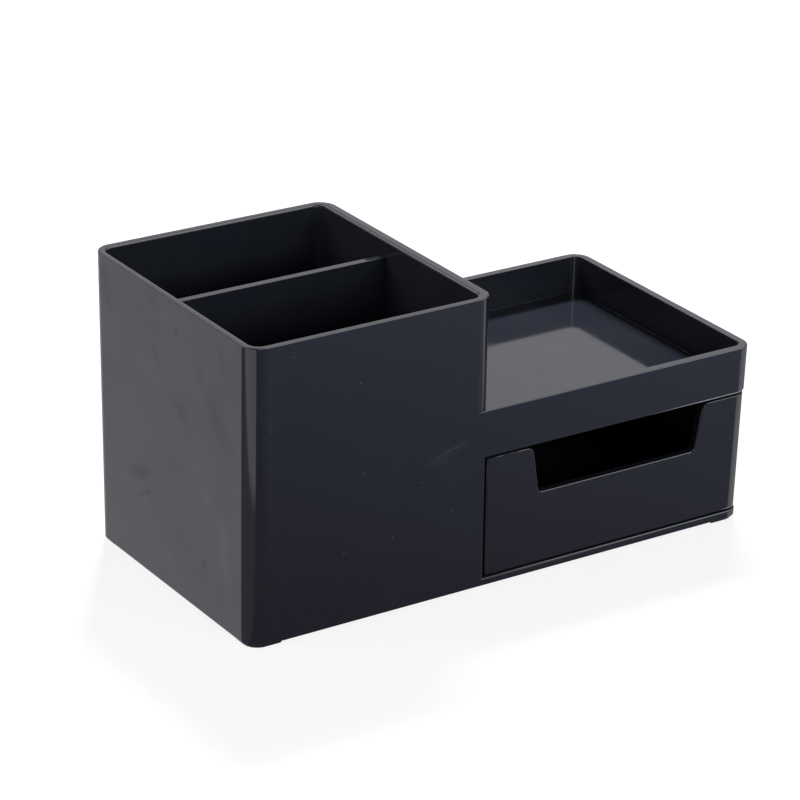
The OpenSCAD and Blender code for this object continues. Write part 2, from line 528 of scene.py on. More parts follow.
    def _add_tray(self, surface: Surface) -> None:
        """The tray's rim, inner walls and fillet, carried from the bin's front corner to its back one.

        Args:
            surface: what the faces are added to.
        """
        corners = Outline.join(self.front_right, self.back_right)
        rows = corners.at(self.tray_height, self.tray_inset)
        pick = np.arange(len(self.tray_height))
        start = self.bin_front.at(self.tray_height)[pick, self.arc_of_row]
        last = len(self.bin_back.anchor) - 1
        end = self.bin_back.at(self.tray_height)[pick, last - self.arc_of_row]
        rows = np.concatenate([start[:, None], rows, end[:, None]], axis=1)
        surface.grid(rows)
        meet = len(self.arc_depth) - 1
        wall = Outline.join(self.bin_front.part(meet), self.bin_back.part(0, last - meet + 1))
        surface.face(rows[-1], wall.at(self.s.tray_floor_z)[0][::-1])

    def _add_bin_wall_above_tray(self, surface: Surface) -> None:
        """The bin's right wall and corners, down to the tray's rim, inner wall, fillet and floor.

        Args:
            surface: what the faces are added to.
        """
        s = self.s
        shoulder = s.rim_z - s.rim_r
        column = self.wall_column
        last = len(self.bin_back.anchor) - 1
        rim_foot = np.array([self.tray_height[np.argmax(self.arc_of_row == row)]
                             for row in range(column + 1)])
        rim_foot[column] = s.tray_rim_z - s.tray_inner_r
        for part, foot in ((self.bin_front.part(0, column + 1), rim_foot),
                           (self.bin_back.part(last - column), rim_foot[::-1])):
            surface.grid(np.concatenate([part.at(shoulder), part.at(foot[None])]))
        middle = Outline.join(self.bin_front.part(column), self.bin_back.part(0, last - column + 1))
        meet = len(self.arc_depth) - 1
        fillet = self.tray_height[-(meet - column + 1):]
        foot = np.full(len(middle.anchor), s.tray_floor_z)
        foot[:len(fillet)] = fillet
        foot[-len(fillet):] = fillet[::-1]
        levels = [shoulder, s.tray_rim_z - s.tray_inner_r, s.tray_floor_z + s.tray_fillet]
        surface.grid(np.concatenate([middle.at(np.array(levels)), middle.at(foot[None])]))

    @property
    def window_end(self) -> int:
        """Number of the outer column at the window's right end. Column 1 stands at its left end."""
        return 2 + len(self.front_right.anchor)

    def _add_outer_walls(self, surface: Surface) -> None:
        """The leaning outer walls with the bay's window, and the rounded base.

        Args:
            surface: what the faces are added to.
        """
        s = self.s
        lean = s.bay_spread / (s.bay_top - s.floor_z)
        window_left = Outline.post((s.bay_left_at(s.bay_top), -s.face_y), (0, -1), (lean, s.draft),
                                   (s.bay_top, s.rim_z))
        window_right = Outline.post((s.end_x, s.wall_front), (1, 0), (-s.draft, 0), (s.tray_rim_z, s.rim_z))
        start, end = self.bin_front.part(0, 1), self.bin_back.part(len(self.bin_back.anchor) - 1)
        body = Outline.join(start, window_left, self.front_right, window_right, self.back_right,
                            end, self.back_left, self.front_left)
        side, rise = quarter(s.base_r)
        low = s.base_z + s.base_r - rise[::-1]
        rows = body.at(np.concatenate([low, [s.floor_z, s.bay_top]]),
                       np.concatenate([side[::-1], [0.0, 0.0]]))
        columns = len(body.anchor)
        keep = np.ones((len(rows) - 1, columns), bool)
        keep[-1, 1:self.window_end] = False  # the window, in the top row of quads
        surface.grid(rows, closed=True, keep=keep)
        surface.face(rows[0])
        self._add_band(surface, body, rows[-1])
        left = Outline.join(end, self.back_left, self.front_left, start)
        surface.grid(left.at(np.array([s.tray_rim_z - s.rim_r, s.rim_z - s.rim_r])))
        self._add_bay(surface, rows[-2], rows[-1])

    def _add_band(self, surface: Surface, body: Outline, lower: np.ndarray) -> None:
        """The walls between the bay's top and the tray's rim.

        Args:
            surface: what the faces are added to.
            body: the outer columns.
            lower: the columns' points at the bay's top.
        """
        upper = body.at(self.s.tray_rim_z - self.s.rim_r)[0]
        post = self.window_end
        after = np.arange(post + 1, len(lower)).tolist() + [0]
        # The window's end columns stop at the bay's top, so one face crosses above each of them.
        surface.face(lower[[0, 1, 2]], upper[[2, 0]])
        surface.face(lower[[post - 1, post, post + 1]], upper[[post + 1, post - 1]])
        for stretch in (list(range(2, post)), after):
            surface.grid(np.stack([lower[stretch], upper[stretch]]))

    def _add_bay(self, surface: Surface, floor_line: np.ndarray, top_line: np.ndarray) -> None:
        """The drawer's bay: floor, ceiling, sides and back.

        Args:
            surface: what the faces are added to.
            floor_line: the outer columns' points at the bay's floor.
            top_line: the same at the bay's ceiling.
        """
        s = self.s
        post = self.window_end
        loops = []  # the inner sides' lines, from the window's right end to its left one
        for line, z in ((floor_line, s.floor_z), (top_line, s.bay_top)):
            inner = np.array([[s.bay_right, s.wall_front, z], [s.bay_right, s.bay_back, z],
                              [s.bay_left_at(z), s.bay_back, z]])
            surface.face(line[1:post + 1], inner)
            loops.append(np.concatenate([line[post:post + 1], inner, line[1:2]]))
        surface.grid(np.stack(loops))

    def build(self) -> None:
        """Makes the housing's surface and rounds the bay's outer edges."""
        s = self.s
        surface = Surface()
        self._add_bin_rim_and_inside(surface)
        self._add_tray(surface)
        self._add_bin_wall_above_tray(surface)
        self._add_outer_walls(surface)
        window = EdgePick(
            low=(s.bay_left_at(s.bay_top) - NEAR, -s.face_y - NEAR, s.floor_z - NEAR),
            high=(s.end_x + NEAR, s.wall_front + NEAR, s.bay_top + NEAR),
            not_low=(-s.end_x, s.wall_front - NEAR, 0), not_high=(s.bay_right + NEAR, s.face_y, s.rim_z))
        item = surface.build("moulded_body", window)
        finish_edges(item, s.bay_edge_r, by_weight=True)
        self.dress.put_on(item, "housing", Body.HOUSING)


@dataclass(frozen=True)
class SnapBumps:
    """Two small bumps under the bay's ceiling that hold the drawer in."""

    body: BodySizes
    dress: Dress
    length: float = 12 * MM
    depth: float = 2 * MM
    height: float = 1.2 * MM
    end_gap: float = 10 * MM  # from the bay's side
    setback: float = 1 * MM  # behind the bay's opening
    root: float = 0.2 * MM  # how far they reach into the ceiling
    steps: int = 12

    def build(self) -> None:
        """Makes both bumps: a half-round section y = depth/2 * cos a, z = -height * sin a, along x."""
        s = self.body
        angle = np.linspace(0, np.pi, self.steps + 1)
        mid_y = s.wall_front + self.setback + self.depth / 2
        y = mid_y + self.depth / 2 * np.cos(angle)
        z = s.bay_top - self.height * np.sin(angle)
        y = np.concatenate([y, y[[-1, 0]]])
        z = np.concatenate([z, np.full(2, s.bay_top + self.root)])
        surface = Surface()
        for start in (s.bay_left + self.end_gap, s.bay_right - self.end_gap - self.length):
            surface.prism(*(np.column_stack([np.full(len(y), x), y, z])
                            for x in (start, start + self.length)))
        item = surface.build("snap_bumps")
        keep_flat(item)
        self.dress.put_on(item, "housing", Body.HOUSING)


# --------------------------------------------------------------------------- divider


@dataclass(frozen=True)
class Divider:
    """The upright plate across the bin."""

    body: BodySizes
    dress: Dress
    edge_r: float = 0.15 * MM
    joint_gap: float = 0.05 * MM  # to the bin's wall at each end

    def build(self) -> None:
        """Makes the plate: a section in y and z with a rounded top, whose ends follow the leaning walls."""
        s = self.body
        low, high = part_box("bin_divider")
        side, up = quarter(self.edge_r)
        shoulder = high.z - self.edge_r
        y = np.concatenate([[low.y], low.y + side, high.y - side[::-1], [high.y]])
        z = np.concatenate([[low.z], shoulder + up, shoulder + up[::-1], [low.z]])
        fall = s.rim_z - z
        left = -s.end_x + s.bin_wall + s.core_draft * fall + self.joint_gap
        right = s.bin_x - s.middle_wall - s.middle_draft * fall - self.joint_gap
        surface = Surface()
        surface.prism(*(np.column_stack([x, y, z]) for x in (left, right)))
        item = surface.build("divider_plate")
        keep_flat(item)
        self.dress.put_on(item, "bin_divider", Body.HOUSING)


# --------------------------------------------------------------------------- drawer


@dataclass(frozen=True)
class NotchSizes:
    """The finger notch: a trapezoid open at the top, with rounded corners."""

    width_low: float = 55.4 * MM
    width_top: float = 60.6 * MM
    depth: float = 14.7 * MM
    shift: float = 1.0 * MM  # of its middle, to the left of the panel's
    top_r: float = 2.5 * MM
    low_r: float = 1.5 * MM
    steps: int = 10

    def outline(self, middle: float, top: float) -> np.ndarray:
        """The notch's line in x and z, from its right end at the panel's top to its left one.

        Each side leans by the angle slant from upright. A rounding arc's centre lies one radius from
        the side and one from the level line that it turns into.

        Args:
            middle: x of the notch's middle.
            top: z of the panel's top.

        Returns:
            Points as (n, 2).
        """
        slant = math.atan2((self.width_top - self.width_low) / 2, self.depth)
        beside = math.tan(slant) - 1 / math.cos(slant)  # from the notch's corner to a centre, for radius 1
        low_x = self.width_low / 2 + self.low_r * beside
        top_x = self.width_top / 2 - self.top_r * beside
        upper = np.linspace(np.pi / 2, np.pi - slant, self.steps + 1)
        lower = np.linspace(-slant, -np.pi / 2, self.steps + 1)
        right = np.concatenate([
            np.column_stack([top_x + self.top_r * np.cos(upper), self.top_r * (np.sin(upper) - 1)]),
            np.column_stack([low_x + self.low_r * np.cos(lower),
                             self.low_r * (1 + np.sin(lower)) - self.depth])])
        left = right[::-1] * (-1, 1)
        return np.concatenate([right, left]) + (middle, top)


@dataclass(frozen=True)
class DrawerSizes:
    """Sizes of the drawer, in metres, beside those of the body."""

    recess: float = 0.3 * MM  # of the panel, behind the body's face
    side_gap: float = 0.8 * MM
    top_gap: float = 0.7 * MM
    low_gap: float = 0.55 * MM
    return_y: float = -38.2 * MM  # back end of the panel's return on the right side
    box_left: float = -7.3 * MM
    box_right: float = 82.6 * MM
    box_back: float = 40.2 * MM
    box_low: float = 3.5 * MM
    wall: float = 1.8 * MM
    side_top: float = 37.2 * MM  # of the box's sides, which are lower than its back
    box_corner_r: float = 2.5 * MM
    panel_back: float = -40.59 * MM
    edge_r: float = 0.5 * MM
    box_edge_r: float = 0.4 * MM
    box_foot_r: float = 0.5 * MM
    box_fillet: float = 1.0 * MM


class Drawer:
    """The drawer: a front panel that wraps round the right corner, and an open box behind it."""

    CORNER_STEPS = 10
    EDGE_STEPS = 4

    def __init__(self, body: Housing, sizes: DrawerSizes, notch: NotchSizes, dress: Dress) -> None:
        """Keeps the sizes and works out the panel's height.

        Args:
            body: the housing, whose right front corner the panel follows.
            sizes: the drawer's own sizes.
            notch: the finger notch's sizes.
            dress: its material and slot.
        """
        self.body = body
        self.dress = dress
        self.s = body.s
        self.d = sizes
        self.notch = notch
        self.low = self.s.floor_z + sizes.low_gap
        self.top = self.s.bay_top - sizes.top_gap
        self.left_low = self.s.bay_left_at(self.low) + sizes.side_gap
        self.left_top = self.s.bay_left_at(self.top) + sizes.side_gap

    def _front(self, line: np.ndarray) -> np.ndarray:
        """Points of the panel's leaning front at the given (x, z) pairs."""
        return np.column_stack([line[:, 0], self.s.face_at(line[:, 1]) + self.d.recess, line[:, 1]])

    def build_panel(self) -> None:
        """Makes the panel: front and back faces with the notch, the round corner and its return.

        The corner follows the body's, without the last two columns, whose short edges would leave no
        room for the rounding of the return's end.
        """
        s, d = self.s, self.d
        middle = (self.left_low + s.end_x) / 2 - self.notch.shift
        notch = self.notch.outline(middle, self.top)
        notch_front = self._front(notch)
        notch_back = np.column_stack([notch[:, 0], np.full(len(notch), d.panel_back), notch[:, 1]])
        tip = Outline.post((s.end_x, d.return_y), (1, 0), (-s.draft, 0), (s.tray_rim_z, s.rim_z))
        round_end = Outline.join(self.body.front_right.part(0, -2), tip)
        bend = round_end.at(np.array([self.low, self.top]), d.recess)
        edge = self._front(np.array([[self.left_low, self.low], [self.left_top, self.top]]))
        inner_x = d.box_right - d.wall
        # The back's points at the bottom and at the top: left end, inner corner, the return's inner end.
        back = np.array([[[left, d.panel_back, z], [inner_x, d.panel_back, z], [inner_x, d.return_y, z]]
                         for left, z in ((self.left_low, self.low), (self.left_top, self.top))])
        surface = Surface()
        surface.face(edge[0], bend[0, 0], bend[1, 0], notch_front, edge[1])  # the front
        surface.face(back[0, 0], back[0, 1], back[1, 1], notch_back, back[1, 0])  # the back
        surface.grid(np.stack([notch_front, notch_back]))
        surface.grid(bend)
        surface.grid(np.stack([bend[:, -1], back[:, 2], back[:, 1]], axis=1))  # the return's end and inside
        surface.face(edge[0], edge[1], back[1, 0], back[0, 0])  # the left end
        surface.face(edge[0], bend[0], back[0, ::-1])  # the underside
        surface.face(edge[1], notch_front[-1], notch_back[-1], back[1, 0])  # the top, left of the notch
        surface.face(notch_front[0], bend[1], back[1, 2], back[1, 1], notch_back[0])  # and right of it
        front_edges = EdgePick(
            low=(-s.end_x, -s.face_y, 0), high=(s.end_x, d.return_y + NEAR, s.rim_z),
            not_low=(-s.end_x, d.panel_back - NEAR, 0), not_high=(inner_x + NEAR, s.face_y, s.rim_z))
        item = surface.build("drawer_front", front_edges)
        finish_edges(item, d.edge_r, by_weight=True, segments=self.EDGE_STEPS)
        self.dress.put_on(item, "drawer", Body.DRAWER)

    def build_box(self) -> None:
        """Makes the box: its wall's section carried along the left side, the back and the right side.

        The section rises from the underside's rounded edge over the rounded top to the inner fillet.
        The back wall is taller, and the wall's top rises to it along the two back corners, by
        (1 - cos 2a) / 2 of the difference at the angle a of a corner.
        """
        s, d = self.s, self.d
        r = d.box_corner_r
        level = ((0, 0), (s.rim_z, s.rim_z))
        quarter_turn = np.linspace(0, np.pi / 2, self.CORNER_STEPS + 1)
        left_x, right_x, y = d.box_left + r, d.box_right - r, d.box_back - r
        path = Outline.join(
            Outline.post((d.box_left, d.panel_back), (-1, 0), *level),
            Outline.corner((left_x, y), r, np.pi - quarter_turn, *level),
            Outline.corner((right_x, y), r, np.pi / 2 - quarter_turn, *level),
            Outline.post((d.box_right, d.panel_back), (1, 0), *level))
        rise = (1 - np.cos(2 * quarter_turn)) / 2
        top = d.side_top + (self.top - d.side_top) * np.concatenate([[0], rise, rise[::-1], [0]])
        side, up = quarter(d.box_edge_r, self.EDGE_STEPS)
        foot_side, foot_up = quarter(d.box_foot_r, self.EDGE_STEPS)
        in_side, in_up = quarter(d.box_fillet)
        floor = d.box_low + d.wall
        shoulder = (top - d.box_edge_r)[None]
        height = np.concatenate([up, up[::-1]])
        inset = np.concatenate([side, d.wall - side[::-1]])
        shell = np.concatenate([
            path.at(d.box_low + foot_side.max() - foot_up[::-1], foot_side[::-1]),
            path.at(shoulder + height[:, None], inset),
            path.at(floor + d.box_fillet - in_up, d.wall + in_side)])
        surface = Surface()
        surface.grid(shell)
        surface.face(shell[0])
        surface.face(shell[-1])
        surface.face(shell[:, 0], shell[::-1, -1])
        item = surface.build("drawer_box")
        keep_flat(item)
        self.dress.put_on(item, "drawer", Body.DRAWER)


# --------------------------------------------------------------------------- feet


@dataclass(frozen=True)
class FootPad:
    """A thin pad under one corner of the housing."""

    node: str
    dress: Dress
    corner_r: float = 4.4 * MM
    slope: float = 0.5 * MM  # how far the inner ends draw in towards the underside
    edge_r: float = 0.2 * MM
    edge_steps: int = 2
    steps: int = 10

    def build(self) -> None:
        """Makes the pad from its plan at the top and the smaller one below, whose inner ends slope."""
        low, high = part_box(self.node)
        centre = (low + high) / 2
        outward = np.sign([centre.x, centre.y])
        corner = np.where(outward > 0, [high.x, high.y], [low.x, low.y])
        size = np.array([high.x - low.x, high.y - low.y])
        turn = np.linspace(0, np.pi / 2, self.steps + 1)
        arc = self.corner_r * (np.column_stack([np.cos(turn), np.sin(turn)]) - 1)
        loops = []
        for z, cut in ((high.z, 0.0), (low.z, self.slope)):
            reach = size - cut
            plan = np.concatenate([arc, [[-reach[0], 0], -reach, [0, -reach[1]]]])
            loops.append(np.column_stack([corner + outward * plan, np.full(len(plan), z)]))
        surface = Surface()
        surface.prism(*loops)
        item = surface.build(self.node.replace("foot", "pad"))
        finish_edges(item, self.edge_r, by_weight=False, segments=self.edge_steps)
        self.dress.put_on(item, self.node, Body.HOUSING)


# --------------------------------------------------------------------------- shader maths


class Value:
    """A node's output. Arithmetic on it adds Math nodes to the same tree."""

    def __init__(self, graph: "Graph", socket: bpy.types.NodeSocket) -> None:
        """Keeps the socket and the graph that it is in."""
        self.graph = graph
        self.socket = socket

    def math(self, operation: str, first: "Value | float", second: "Value | float") -> "Value":
        """A Math node with the given operation on two terms."""
        return self.graph.node("ShaderNodeMath", {"operation": operation}, {0: first, 1: second}).out()

    def __add__(self, other: "Value | float") -> "Value":
        """self + other"""
        return self.math("ADD", self, other)

    def __radd__(self, other: float) -> "Value":
        """other + self"""
        return self.math("ADD", other, self)

    def __sub__(self, other: "Value | float") -> "Value":
        """self - other"""
        return self.math("SUBTRACT", self, other)

    def __rsub__(self, other: float) -> "Value":
        """other - self"""
        return self.math("SUBTRACT", other, self)

    def __mul__(self, other: "Value | float") -> "Value":
        """self * other"""
        return self.math("MULTIPLY", self, other)

    def __rmul__(self, other: float) -> "Value":
        """other * self"""
        return self.math("MULTIPLY", other, self)

    def __truediv__(self, other: "Value | float") -> "Value":
        """self / other"""
        return self.math("DIVIDE", self, other)

    def __rtruediv__(self, other: float) -> "Value":
        """other / self"""
        return self.math("DIVIDE", other, self)

    def at_least(self, low: float) -> "Value":
        """The larger one of self and low."""
        return self.math("MAXIMUM", self, low)

    def bearing(self, north: "Value") -> "Value":
        """The compass direction of (self, north), in degrees from +Y towards +X."""
        return self.math("ARCTAN2", self, north) * DEGREES

    def rise(self, low: float, high: float, smooth: bool = False) -> "Value":
        """A rise from 0 to 1, or a fall where low > high.

        Args:
            low: where it leaves 0.
            high: where it reaches 1.
            smooth: whether it starts and ends gently.

        Returns:
            0 up to low and 1 from high on.
        """
        kind = {"interpolation_type": "SMOOTHSTEP" if smooth else "LINEAR"}
        limits = {"Value": self, "From Min": low, "From Max": high}
        return self.graph.node("ShaderNodeMapRange", kind, limits).out()

    def step(self, low: float, high: float) -> "Value":
        """A smooth rise from 0 at low to 1 at high, or a fall where low > high."""
        return self.rise(low, high, smooth=True)


class Node:
    """A node that has been added to a graph."""

    def __init__(self, graph: "Graph", item: bpy.types.Node) -> None:
        """Keeps the node and the graph that it is in."""
        self.graph = graph
        self.item = item

    def out(self, name: str | int = 0) -> Value:
        """The output with the given name or number."""
        return Value(self.graph, self.item.outputs[name])


class Graph:
    """A node tree that is written as expressions."""

    def __init__(self, owner: bpy.types.Material | bpy.types.World) -> None:
        """Empties the node tree of a material or a world.

        Args:
            owner: what the tree belongs to.
        """
        owner.use_nodes = True
        self.tree = owner.node_tree
        self.tree.nodes.clear()
        self.last = f"ShaderNodeOutput{'World' if isinstance(owner, bpy.types.World) else 'Material'}"

    def node(self, kind: str, settings: dict | None = None, values: dict | None = None) -> Node:
        """Adds a node.

        Args:
            kind: the node's type.
            settings: its properties, and under "stops" a ramp's (position, brightness) pairs.
            values: for each input's name or number, a Value to link or a constant.

        Returns:
            The new node.
        """
        item = self.tree.nodes.new(kind)
        for name, setting in (settings or {}).items():
            if name == "stops":
                self._set_stops(item.color_ramp.elements, setting)
            else:
                setattr(item, name, setting)
        for name, value in (values or {}).items():
            if isinstance(value, Value):
                self.tree.links.new(value.socket, item.inputs[name])
            else:
                item.inputs[name].default_value = value
        return Node(self, item)

    @staticmethod
    def _set_stops(elements: bpy.types.ColorRampElements, stops: list[Pair]) -> None:
        """Gives a ramp its stops.

        Args:
            elements: the ramp's own stops.
            stops: the position and the brightness of each, in order of position.
        """
        while len(elements) < len(stops):
            elements.new(1.0)
        for element, (position, level) in zip(elements, stops):
            element.position = position
            element.color = (level, level, level, 1)

    def place(self) -> Value:
        """The place in object coordinates."""
        return self.node("ShaderNodeTexCoord").out("Object")

    def axes(self, vector: Value) -> list[Value]:
        """A vector's x, y and z."""
        parts = self.node("ShaderNodeSeparateXYZ", {}, {0: vector})
        return [parts.out(name) for name in "XYZ"]

    def vector(self, operation: str, values: dict) -> Node:
        """A Vector Math node with the given operation on the values of its inputs."""
        return self.node("ShaderNodeVectorMath", {"operation": operation}, values)

    def noise(self, where: Value, size: float, detail: float = 2.0) -> Node:
        """Smooth noise, as one number from 0 to 1 and as a colour of three.

        Args:
            where: the coordinates.
            size: the width of its blobs.
            detail: how many finer layers it has.

        Returns:
            Its node, whose first output is the number.
        """
        return self.node("ShaderNodeTexNoise", {}, {"Vector": where, "Scale": 1 / size, "Detail": detail})

    def warp(self, where: Value, size: float, reach: float) -> Value:
        """Coordinates that a noise moves by up to about half of reach each way.

        Args:
            where: the coordinates.
            size: the width of the noise's blobs.
            reach: how far the place moves.

        Returns:
            The moved coordinates, where + reach * (noise - 0.5).
        """
        push = self.noise(where, size).out("Color")
        centred = self.vector("SUBTRACT", {0: push, 1: (0.5, 0.5, 0.5)}).out()
        scaled = self.vector("SCALE", {0: centred, "Scale": reach}).out()
        return self.vector("ADD", {0: where, 1: scaled}).out()

    def mix(self, factor: Value | float, first: Value | tuple, second: Value | tuple) -> Value:
        """A colour between two others, the first one where the factor is 0.

        Args:
            factor: the second colour's share.
            first: a colour.
            second: the other one.

        Returns:
            The mixed colour. The node's colours are its inputs 6 and 7 and its output 2.
        """
        made = self.node("ShaderNodeMix", {"data_type": "RGBA"}, {0: factor, 6: first, 7: second})
        return made.out(2)

    def bump(self, height: Value, distance: float, strength: float = 1.0) -> Value:
        """The normal of a surface whose relief is distance * height."""
        values = {"Strength": strength, "Distance": distance, "Height": height}
        return self.node("ShaderNodeBump", {}, values).out("Normal")

    def shader(self, name: str, colour: Value | tuple, **values: Value | float) -> Value:
        """A shader of the given colour, with the other inputs in values, whose names are one word."""
        return self.node(f"ShaderNode{name}", {}, {"Color": colour, **values}).out()

    def blend(self, factor: Value, first: Value, second: Value) -> Value:
        """A shader between two others, the first one where the factor is 0."""
        return self.node("ShaderNodeMixShader", {}, {0: factor, 1: first, 2: second}).out()

    def end(self, surface: Value) -> None:
        """Links the finished shader to the tree's output."""
        self.node(self.last, {}, {"Surface": surface})


def rgba(colour: Colour) -> tuple[float, float, float, float]:
    """A colour with an alpha of 1."""
    return (*colour, 1.0)


# --------------------------------------------------------------------------- finishes


class Face(Enum):
    """The upright face that a mark lies on."""

    FRONT = "front"
    LEFT = "left"


class Kind(Enum):
    """What a mark does to the plastic: it dulls it, leaves a pale film or is a pale dot."""

    SMUDGE = "smudge"
    HAZE = "haze"
    SPECK = "speck"


@dataclass(frozen=True)
class Mark:
    """A soft oval mark of use, in millimetres and degrees.

    Its strength falls smoothly from the middle to 0 at the oval's edge, where the length of the vector
    (along / half_length, across / half_width, depth / DEPTH) is 1. It is full up to CORE of that length.
    """

    face: Face
    kind: Kind
    side: float  # its middle's x on the front, or y on the left face
    up: float  # its middle's z
    half_length: float
    half_width: float
    tilt: float  # of its length, from level
    strength: float

    DEPTH = 1.5
    CORE = 0.15

    def mask(self, graph: "Graph", where: Value, body: BodySizes) -> Value:
        """The mark's strength at a place.

        Args:
            graph: the material's node tree.
            where: the place, in object coordinates.
            body: sizes that give the face's place.

        Returns:
            0 outside the mark, up to its strength in its middle.
        """
        inset = body.draft * (body.rim_z - self.up * MM)
        long, wide, deep = (part * MM for part in (self.half_length, self.half_width, self.DEPTH))
        turn = math.radians(self.tilt)
        if self.face is Face.FRONT:
            values = {"Location": (self.side * MM, inset - body.face_y, self.up * MM),
                      "Rotation": (0, -turn, 0), "Scale": (long, deep, wide)}
        else:
            values = {"Location": (inset - body.end_x, self.side * MM, self.up * MM),
                      "Rotation": (turn, 0, 0), "Scale": (deep, long, wide)}
        mapping = {"Vector": where, **values}
        local = graph.node("ShaderNodeMapping", {"vector_type": "TEXTURE"}, mapping).out()
        reach = graph.vector("LENGTH", {0: local}).out("Value")
        return reach.step(1.0, self.CORE) * self.strength


SPOT_R = 0.35  # a single speck's radius

# Each row holds a mark's side, up, half_length, half_width, tilt and strength.
MARK_ROWS = {
    (Face.LEFT, Kind.SMUDGE): (
        (-4.5, 80.9, 1.9, 1.92, 62, 0.8), (7.8, 69.9, 5.8, 1.54, 57, 0.6),
        (0.2, 73.8, 2.5, 1.15, 71, 0.4), (-17.2, 72.7, 2.6, 1.92, 64, 0.4),
        (-28.3, 81.9, 5.2, 2.69, 62, 0.4), (-27.3, 61.4, 13.1, 6.54, 41, 0.4),
        (-6.2, 58.1, 6.5, 4.23, 52, 0.35), (17.6, 30.8, 9.1, 3.85, -8, 0.5),
        (14.9, 24.8, 8.3, 1.92, -28, 0.5), (-18.0, 16.2, 3.2, 2.69, 76, 0.6),
        (35.3, 80.4, 9.5, 4.23, 76, 0.5), (10.2, 86.2, 4.0, 2.69, 30, 0.3)),
    (Face.LEFT, Kind.HAZE): (
        (-13.0, 44.2, 4.7, 3.08, 27, 0.4), (-21.7, 37.4, 8.7, 3.46, 21, 0.8),
        (-29.9, 22.9, 17.0, 4.23, 78, 0.8), (-11.3, 67.9, 8.5, 4.23, 1, 0.4),
        (2.8, 84.4, 4.7, 4.62, 20, 0.35), (-20.9, 77.1, 6.2, 2.69, 37, 0.35),
        (2.4, 9.4, 7.4, 3.85, 45, 0.4)),
    (Face.FRONT, Kind.HAZE): (
        (-80.1, 80.3, 5.9, 0.46, -87, 0.35), (-78.9, 83.3, 1.4, 0.35, 39, 0.5),
        (-78.7, 81.0, 1.4, 0.31, 52, 0.4), (-79.8, 67.9, 4.7, 0.38, -84, 0.35),
        (-79.5, 53.8, 4.0, 0.46, -76, 0.3), (-21.4, 46.2, 10.1, 0.31, 20, 0.8),
        (-19.1, 46.9, 6.7, 0.31, 8, 0.7), (-23.2, 43.0, 5.6, 0.31, 3, 0.5),
        (-22.7, 45.0, 10.0, 2.69, 17, 0.3), (-18.4, 36.9, 1.6, 0.50, 41, 0.5),
        (15.4, 46.6, 10.9, 0.27, -3, 0.45), (21.0, 51.4, 2.3, 0.27, 23, 0.6)),
    (Face.FRONT, Kind.SPECK): tuple(
        (side, up, SPOT_R, SPOT_R, 0, 1.0) for side, up in (
            (-72.8, 85.7), (-79.3, 65.3), (-51.3, 73.5), (-49.2, 45.8), (-30.2, 38.6), (-39.3, 23.8),
            (-55.4, 22.9), (-19.7, 27.4))),
}
SHELL_MARKS = tuple(Mark(face, kind, *row) for (face, kind), rows in MARK_ROWS.items() for row in rows)


